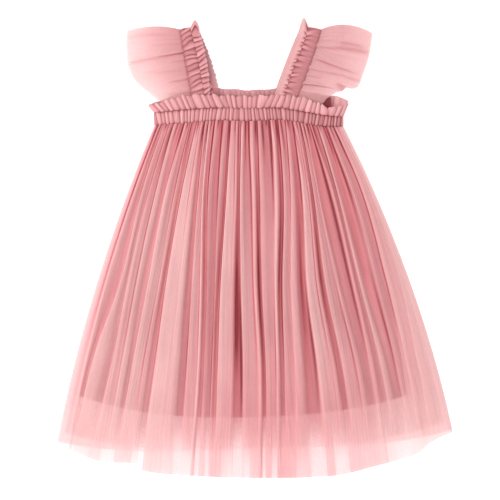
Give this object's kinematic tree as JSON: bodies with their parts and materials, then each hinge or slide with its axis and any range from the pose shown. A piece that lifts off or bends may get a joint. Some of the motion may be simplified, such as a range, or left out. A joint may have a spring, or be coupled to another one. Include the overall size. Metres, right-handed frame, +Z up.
{
  "type": "toddler party dress",
  "caption": "Toddler's tulle party dress laid flat: gathered sheer skirt over a knit lining, elastic chest band with frills, wide straps and flutter sleeves.",
  "frame": {"origin": "centre of the laid-out dress, on the surface it lies on", "axes": "+Y from the hem to the shoulders, +Z up from the surface with the dress's front on top, +X to the wearer's left"},
  "size_m": [0.4376, 0.5046, 0.0207],
  "materials": {
    "tulle": "sheer dusty pink net, soft and matt",
    "lining_knit": "opaque dusty rose cotton knit",
    "gathered_band": "net and knit gathered over elastic, two stitched rows",
    "frill_tulle": "doubled pink net, gathered",
    "sleeve_tulle": "doubled sheer pink net, matt"
  },
  "bodies": {
    "root": {"skirt_front": "tulle", "underskirt_front": "tulle", "skirt_back": "tulle", "lining_front": "lining_knit", "lining_back": "lining_knit", "band_front": "gathered_band", "band_back": "gathered_band", "frill_front": "frill_tulle", "frill_back": "frill_tulle", "strap_left": "gathered_band", "strap_frill_left": "frill_tulle", "sleeve_left": "sleeve_tulle", "strap_right": "gathered_band", "strap_frill_right": "frill_tulle", "sleeve_right": "sleeve_tulle"}
  },
  "joints": []
}
